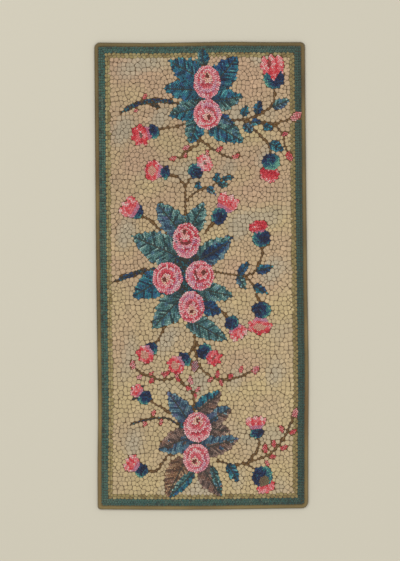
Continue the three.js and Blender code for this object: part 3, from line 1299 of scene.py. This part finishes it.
def wool(name, folds, slant, twill):
    """Napped wool: soft folds along each strip, or plies at a slant, with its weave, fibres and dye, and
    painted shade in the hollows of its folds and weave.
    """
    material, surface = new_material(name, roughness=0.95, sheen=0.28, shine=0.1)
    tree = material.node_tree
    place = in_space(tree)
    along, across = axes_of(tree, on_chart(tree, "Strip"))
    patches = noise(tree, place, scale=230.0, detail=2.0)
    fibres = noise(tree, place, scale=1500.0, detail=3.0)
    lobes = waves(tree, combined(tree, "ADD", across, combined(tree, "MULTIPLY", along, slant)), folds)
    warp = waves(tree, combined(tree, "ADD", across, along), twill)
    level = combined(tree, "SUBTRACT", across, combined(tree, "MULTIPLY", along, 0.3))
    cloth = combined(tree, "MULTIPLY", warp, waves(tree, level, 0.7 * twill))
    # Painted shade: the colour darkens in the hollows of the weave and in the grooves of the folds, which
    # the bump also shapes
    light = combined(tree, "MULTIPLY", scaled(tree, patches, 0.95, 1.05), scaled(tree, fibres, 0.88, 1.1))
    light = combined(tree, "MULTIPLY", light, stretched(tree, cloth, 0.9, 1.08))
    tinted(tree, surface, combined(tree, "MULTIPLY", light, stretched(tree, lobes, 0.9, 1.03)))
    nap = combined(tree, "ADD", stretched(tree, lobes, 0.0, 1.8), stretched(tree, cloth, 0.0, 0.5))
    bumped(tree, surface, combined(tree, "ADD", nap, stretched(tree, fibres, 0.0, 0.7)), 0.0007)
    return material


def woven(name, pitch, sheen, chart=None):
    """Plain weave, its threads a pitch apart on a chart or in space, with slubs, uneven dye and painted
    shade between the threads.
    """
    material, surface = new_material(name, roughness=0.9, sheen=sheen, shine=0.2)
    tree = material.node_tree
    across, along = axes_of(tree, on_chart(tree, chart) if chart else in_space(tree))
    weave = combined(tree, "MULTIPLY", ridges(tree, across, pitch), ridges(tree, along, pitch))
    slubs = noise(tree, in_space(tree), scale=420.0, detail=3.0)
    # Painted shade: the colour darkens in the hollows between the threads, which the bump also shapes
    light = combined(tree, "MULTIPLY", scaled(tree, weave, 0.9, 1.04), scaled(tree, slubs, 0.9, 1.1))
    tinted(tree, surface, light)
    bumped(tree, surface, combined(tree, "ADD", weave, slubs), 0.0005)
    return material


# The foundation cloth
FOUNDATION_COLUMNS = 84
FOUNDATION_ROWS = 187
FOUNDATION_MARGIN = 0.28
MARGIN_LIFT = 2.2
MARGIN_FACE = 4.4
LIFT_START, LIFT_RUN = 2.0, 3.0
FACE_RUN = (-1.0, 3.0)
BACK_DIM = 0.9
BACK_LINED = 0.25


def spaced(line, count):
    """A count of places along a line."""
    at = np.linspace(0, len(line) - 1, count)
    return np.stack([np.interp(at, np.arange(len(line)), line[:, axis]) for axis in (0, 1)], 1)


def four_sides(edge):
    """An outline cut at its four corners, from the lower left one round."""
    spread = edge / np.abs(edge).max(0)
    corners = [int(np.argmax(spread @ np.array(way))) for way in ((-1, -1), (1, -1), (1, 1), (-1, 1))]
    sides = []
    for start, stop in zip(corners, corners[1:] + corners[:1]):
        run = np.arange(start, stop + 1 if stop > start else stop + len(edge) + 1) % len(edge)
        sides.append(edge[run])
    return sides


def cloth_grid(edge, columns, rows):
    """A grid of places that fills a four-sided outline, row by row from the lower left."""
    sides = four_sides(edge)
    bottom, right = spaced(sides[0], columns)[None], spaced(sides[1], rows)[:, None]
    top, left = spaced(sides[2], columns)[::-1][None], spaced(sides[3], rows)[::-1][:, None]
    u, v = np.linspace(0, 1, columns)[None, :, None], np.linspace(0, 1, rows)[:, None, None]
    between = (1 - v) * bottom + v * top + (1 - u) * left + u * right
    square = (1 - u) * (1 - v) * bottom[:, :1] + u * (1 - v) * bottom[:, -1:]
    square = square + (1 - u) * v * top[:, :1] + u * v * top[:, -1:]
    return between - square


def cloth_faces(columns, rows):
    """The faces of a closed cloth on a grid: its back, its front and its rim."""
    size = columns * rows
    cell = (np.arange(rows - 1)[:, None] * columns + np.arange(columns - 1)).ravel()
    back = np.stack([cell, cell + columns, cell + columns + 1, cell + 1], 1)
    front = np.stack([cell, cell + 1, cell + columns + 1, cell + columns], 1) + size
    bottom, right = np.arange(columns), columns * np.arange(2, rows + 1) - 1
    top, left = size - 2 - np.arange(columns - 1), columns * np.arange(rows - 2, 0, -1)
    rim = np.concatenate([bottom, right, top, left])
    ahead = np.roll(rim, -1)
    return [back, front, np.stack([rim, ahead, ahead + size, rim + size], 1)]


def foundation(edge, outer, every):
    """The cloth that holds the loops. Its margin rises into the binding, and its back shows the hooking."""
    line = outer + (edge_by(edge, outer) - outer) * FOUNDATION_MARGIN
    grid = cloth_grid(line, FOUNDATION_COLUMNS, FOUNDATION_ROWS).reshape(-1, 2)
    index, distance = nearest(tree_of(edge), grid)
    inside = ((grid - edge[index]) * -grid).sum(1) > 0
    inset = np.where(inside, distance, -distance)
    lift = MARGIN_LIFT * np.clip((LIFT_START - inset) / LIFT_RUN, 0, 1)
    face = np.interp(inset, FACE_RUN, (MARGIN_FACE, FOUNDATION_FACE))
    points = np.concatenate([np.column_stack([grid, lift]), np.column_stack([grid, face])])
    faces = cloth_faces(FOUNDATION_COLUMNS, FOUNDATION_ROWS)
    material = woven("foundation_cloth", pitch=0.0016, sheen=0.1)
    piece, corners = mesh_piece("foundation_cloth", points, faces, material)
    index, _ = nearest(tree_of(every.at), grid)
    back = toned(every.tint[index] * BACK_DIM, "line", BACK_LINED)
    add_tint(piece, np.concatenate([back, np.broadcast_to(shade("line"), back.shape)]))
    chart = (grid - grid.min(0)) / np.ptp(grid, axis=0) * np.array([0.5, 1.0]) * 0.98
    add_chart(piece, "OFBake", np.concatenate([chart, chart + np.array([0.505, 0.0])])[corners])
    return placed(piece)


# The binding, fold by fold from its edge on the back, round the outside to the face and back under
# A fold's shade is its share of the lit binding colour: painted light on the top of the roll, painted shade
# at its edges and under it
Fold = namedtuple("Fold", "inset height shade")
FOLDS = [Fold(*row) for row in (
    (13.0, 0.5, 0.3), (12.6, 0.1, 0.4), (8.0, 0.0, 0.5), (2.4, 0.0, 0.5), (0.9, 0.5, 0.45),
    (0.2, 1.5, 0.3), (0.0, 3.0, 0.3), (0.2, 4.4, 0.4), (1.0, 5.7, 0.55), (2.4, 6.4, 0.75),
    (4.2, 6.7, 0.95), (6.4, 6.75, 1.0), (8.6, 6.6, 0.9), (10.6, 6.2, 0.7), (12.2, 5.6, 0.4),
    (12.9, 5.0, 0.15), (12.6, 4.7, 0.1), (8.0, 4.7, 0.2), (3.6, 4.6, 0.2), (2.6, 4.0, 0.2),
    (2.3, 3.2, 0.2), (2.6, 2.3, 0.2), (3.6, 1.7, 0.2), (8.0, 1.6, 0.2), (12.7, 1.6, 0.2),
)]
BINDING_STEP = 6.0
BINDING_STRIPS = 10
PUCKER_LENGTH, PUCKER_HEIGHT = 13, 0.22
PUCKER_DRAW = 0.6
SAG_LENGTH, SAG_HEIGHT = 41, 0.16
UPPER_START, UPPER_RUN = 4.9, 1.5


def folded(edge, outer):
    """The points and the colours of the folded strip, with painted light and shade across its roll, a
    little puckered by its sewing.
    """
    inner = edge_by(edge, outer)
    run = np.arange(len(outer)) * BINDING_STEP
    pucker = PUCKER_HEIGHT * np.sin(run * math.tau / PUCKER_LENGTH + 1.5 * np.sin(run / 37))
    pucker = pucker + SAG_HEIGHT * np.sin(run * math.tau / SAG_LENGTH)
    light = 1 + 0.06 * drift(outer, 140, 70) - 0.07 * outer[:, 1] / 650
    rust = np.clip(0.35 * drift(outer, 420, 71), 0, 0.6)
    points, tints = [], []
    for fold in FOLDS:
        upper = float(np.clip((fold.height - UPPER_START) / UPPER_RUN, 0, 1))
        inset = fold.inset + PUCKER_DRAW * upper * pucker * fold.inset / BINDING_FACE
        place = outer + (inner - outer) * inset[:, None] / BINDING_FACE
        points.append(np.column_stack([place, fold.height + upper * pucker]))
        # Painted light and shade across the roll, by each fold's share
        tint = toned(shade("binding painted shade"), "binding", np.full(len(outer), fold.shade))
        tints.append(toned(tint, "binding rust", rust) * light[:, None])
    return np.stack(points, 1).reshape(-1, 3), np.stack(tints, 1).reshape(-1, 3)


def binding(edge, outer):
    """One strip of cloth folded over the edge, all the way round."""
    points, tints = folded(edge, outer)
    count, folds = len(outer), len(FOLDS)
    i, j = [index.ravel() for index in np.indices((count, folds))]
    next_i, next_j = (i + 1) % count, (j + 1) % folds
    quads = np.stack([i * folds + j, i * folds + next_j, next_i * folds + next_j, next_i * folds + j], 1)
    material = woven("binding_cloth", pitch=0.0009, sheen=0.3, chart="Weave")
    piece, _ = mesh_piece("edge_binding_cloth", points, [quads], material)
    add_tint(piece, tints)
    section = np.array([[fold.inset, fold.height] for fold in FOLDS])
    steps_across = np.linalg.norm(np.diff(section, axis=0, append=section[:1]), axis=1)
    rise = np.concatenate([[0], np.cumsum(steps_across)])
    steps = np.stack([i, i, i + 1, i + 1], 1)
    heights = np.stack([rise[j], rise[j + 1], rise[j + 1], rise[j]], 1)
    add_chart(piece, "Weave", np.stack([steps * BINDING_STEP, heights], 2).reshape(-1, 2) * MM)
    strip = i * BINDING_STRIPS // count
    u = (steps - (strip * count / BINDING_STRIPS)[:, None]) * BINDING_STRIPS / count
    v = (strip[:, None] + 0.03 + 0.94 * heights / rise[-1]) / BINDING_STRIPS
    add_chart(piece, "OFBake", np.stack([0.01 + 0.97 * u, v], 2).reshape(-1, 2))
    return placed(piece)


# The sewing
Bend = namedtuple("Bend", "inset height slant radius")
STITCH = (
    Bend(10.4, 5.6, -1.4, 0.21),
    Bend(10.8, 6.5, -1.2, 0.42),
    Bend(12.0, 6.2, -0.4, 0.42),
    Bend(13.1, 5.4, 0.4, 0.42),
    Bend(13.6, 4.0, 0.9, 0.21),
)
STITCH_SIDES = 5
STITCH_PITCH = 12.0


def stitches(edge, outer):
    """Small slanting hand stitches that hold the binding's inner edge down."""
    places, _ = evenly(outer, STITCH_PITCH, closed=True)
    inner = edge_by(edge, places)
    inward = (inner - places) / np.linalg.norm(inner - places, axis=1)[:, None]
    along = np.stack([inward[:, 1], -inward[:, 0]], 1)
    angle = np.arange(STITCH_SIDES) * math.tau / STITCH_SIDES
    points = []
    for bend in STITCH:
        middle = places + inward * bend.inset + along * bend.slant
        ring = middle[:, None] + bend.radius * np.cos(angle)[None, :, None] * along[:, None]
        height = (bend.height + bend.radius * np.sin(angle))[None, :, None]
        points.append(np.concatenate([ring, np.broadcast_to(height, (*ring.shape[:2], 1))], 2))
    points = np.concatenate(points, 1)
    count, each = points.shape[:2]
    k = np.arange(STITCH_SIDES)
    ends = np.stack([k[::-1], each - STITCH_SIDES + k])
    faces = [repeated(one, count, each) for one in (bands(STITCH_SIDES, len(STITCH)), ends)]
    material = woven("sewing_thread", pitch=0.0006, sheen=0.2)
    piece, _ = mesh_piece("binding_stitches", points.reshape(-1, 3), faces, material)
    add_tint(piece, np.broadcast_to(shade("thread"), (count * each, 3)))
    return placed(piece)


# The stage. The camera's frame is in millimetres, the lights and the floor are in metres
FRAME_HEIGHT = 1622.0
AIM_X, AIM_Y = -4.3, -13.6
LENS, SENSOR = 100.0, 36.0
SKY_COLOUR = (1.0, 0.985, 0.95, 1.0)
SKY_STRENGTH = 0.77
FLOOR_HALF = 6.0
FLOOR_DROP = 0.0003


def add_camera():
    """Looks straight down, with the rug's upper end at the top of the picture."""
    data = bpy.data.cameras.new("camera")
    data.lens = LENS
    data.sensor_width = SENSOR
    camera = bpy.data.objects.new("camera", data)
    height = FRAME_HEIGHT * LENS / SENSOR + PILE_TOP
    camera.location = Vector((AIM_X, AIM_Y, height)) * MM
    bpy.context.scene.collection.objects.link(camera)
    bpy.context.scene.camera = camera


def add_light(name, place, size, power):
    """A square lamp that faces the rug's middle."""
    data = bpy.data.lights.new(name, "AREA")
    data.size = size
    data.energy = power
    light = bpy.data.objects.new(name, data)
    light.location = place
    light.rotation_euler = (-Vector(place)).to_track_quat("-Z", "Y").to_euler()
    bpy.context.scene.collection.objects.link(light)


def add_sky():
    """An even, slightly warm sky."""
    world = bpy.data.worlds.new("studio")
    world.use_nodes = True
    sky = world.node_tree.nodes["Background"]
    sky.inputs["Color"].default_value = SKY_COLOUR
    sky.inputs["Strength"].default_value = SKY_STRENGTH
    bpy.context.scene.world = world
    bpy.context.scene.view_settings.view_transform = "Standard"


def add_floor():
    """A plain pale floor, a hair under the rug."""
    mesh = bpy.data.meshes.new("floor")
    corners = [(-1, -1), (1, -1), (1, 1), (-1, 1)]
    mesh.from_pydata([(x * FLOOR_HALF, y * FLOOR_HALF, 0) for x, y in corners], [], [(0, 1, 2, 3)])
    floor = bpy.data.objects.new("floor", mesh)
    floor.location.z = -FLOOR_DROP
    material, surface = new_material("floor", roughness=0.9, sheen=0.0, shine=0.1)
    surface.inputs["Base Color"].default_value = (*linear(PALETTE["floor"]), 1.0)
    mesh.materials.append(material)
    bpy.context.scene.collection.objects.link(floor)


def add_studio():
    """A pale floor under two wide soft lights and an even sky."""
    add_sky()
    add_light("key", (-2.4, 2.8, 4.6), size=2.2, power=74.0)
    add_light("fill", (2.6, -2.6, 4.6), size=3.0, power=37.0)
    add_floor()


def build():
    """The design is planned from the sprays down to the ground, and then made."""
    edge, turn = pile_edge()
    outer = rug_edge(edge, BINDING_STEP)
    motifs = planned_motifs()
    sprays = joined(motifs.values())
    teal = uncovered(border(edge, turn), sprays)
    line = uncovered(inner_line(edge, turn), sprays)
    others = joined([sprays, teal, line])
    tan = ground(edge, turn, others)
    pieces = pile_pieces(motifs, teal, line, tan)
    base = foundation(edge, outer, joined([others, tan]))
    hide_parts("hooked_field")
    bound = binding(edge, outer)
    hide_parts("edge_binding")
    sewn = stitches(edge, outer)


add_camera()
add_studio()
build()
